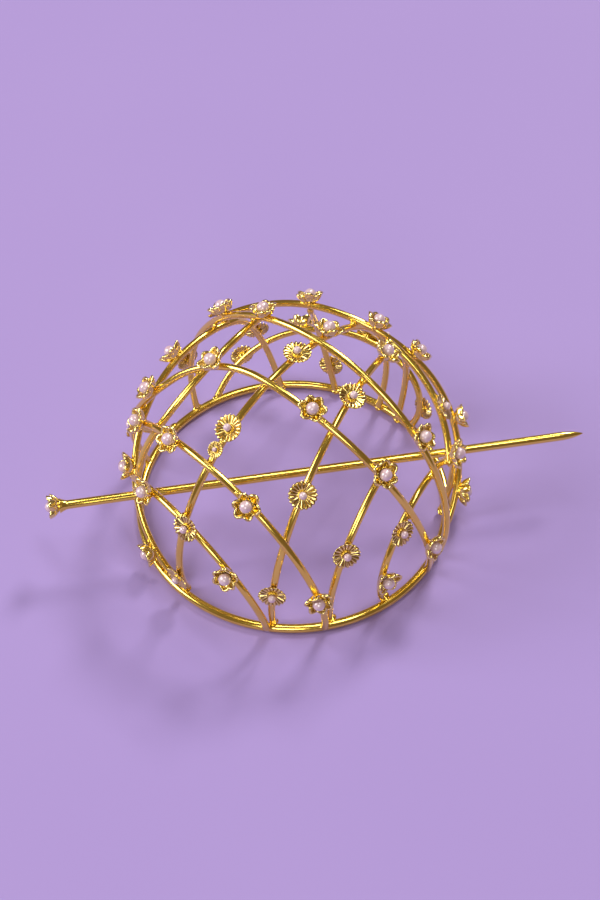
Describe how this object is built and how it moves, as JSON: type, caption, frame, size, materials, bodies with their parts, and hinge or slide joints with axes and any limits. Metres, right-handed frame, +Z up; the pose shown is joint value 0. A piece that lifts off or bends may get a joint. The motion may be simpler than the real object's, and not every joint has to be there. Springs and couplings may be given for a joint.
{
  "type": "bun cover with hair stick",
  "caption": "Domed openwork wire bun cover on a round rim, trimmed with pearl flowers and small daisies, pinned by a straight hair stick with a pearl flower head.",
  "frame": {"origin": "centre of the rim on its underside, on the surface the cover stands on", "axes": "+Z up through the top of the dome, +X along the hair stick from its flower head to its point, -Y the side that the picture sees"},
  "size_m": [0.1334, 0.0888, 0.0556],
  "materials": {
    "gold_metal": "polished gold-plated brass wire, orange-gold in the solder",
    "pearl": "pinkish white pearl lustre"
  },
  "bodies": {
    "cage": {"rim_ring": "gold_metal", "outer_wire_1": "gold_metal", "outer_wire_2": "gold_metal", "outer_wire_3": "gold_metal", "outer_wire_4": "gold_metal", "outer_wire_5": "gold_metal", "outer_wire_6": "gold_metal", "outer_wire_7": "gold_metal", "inner_wire_1": "gold_metal", "inner_wire_2": "gold_metal", "inner_wire_3": "gold_metal", "inner_wire_4": "gold_metal", "inner_wire_5": "gold_metal", "inner_wire_6": "gold_metal", "inner_wire_7": "gold_metal", "flower_pearls": "pearl", "daisy_beads": "pearl"},
    "stick": {"hair_stick": "gold_metal", "stick_pearl": "pearl"}
  },
  "joints": [
    {"name": "stick_slide", "type": "slide", "parent": "cage", "child": "stick", "axis": [-1, 0, 0], "range_m": [-0.012, 0.118]}
  ]
}
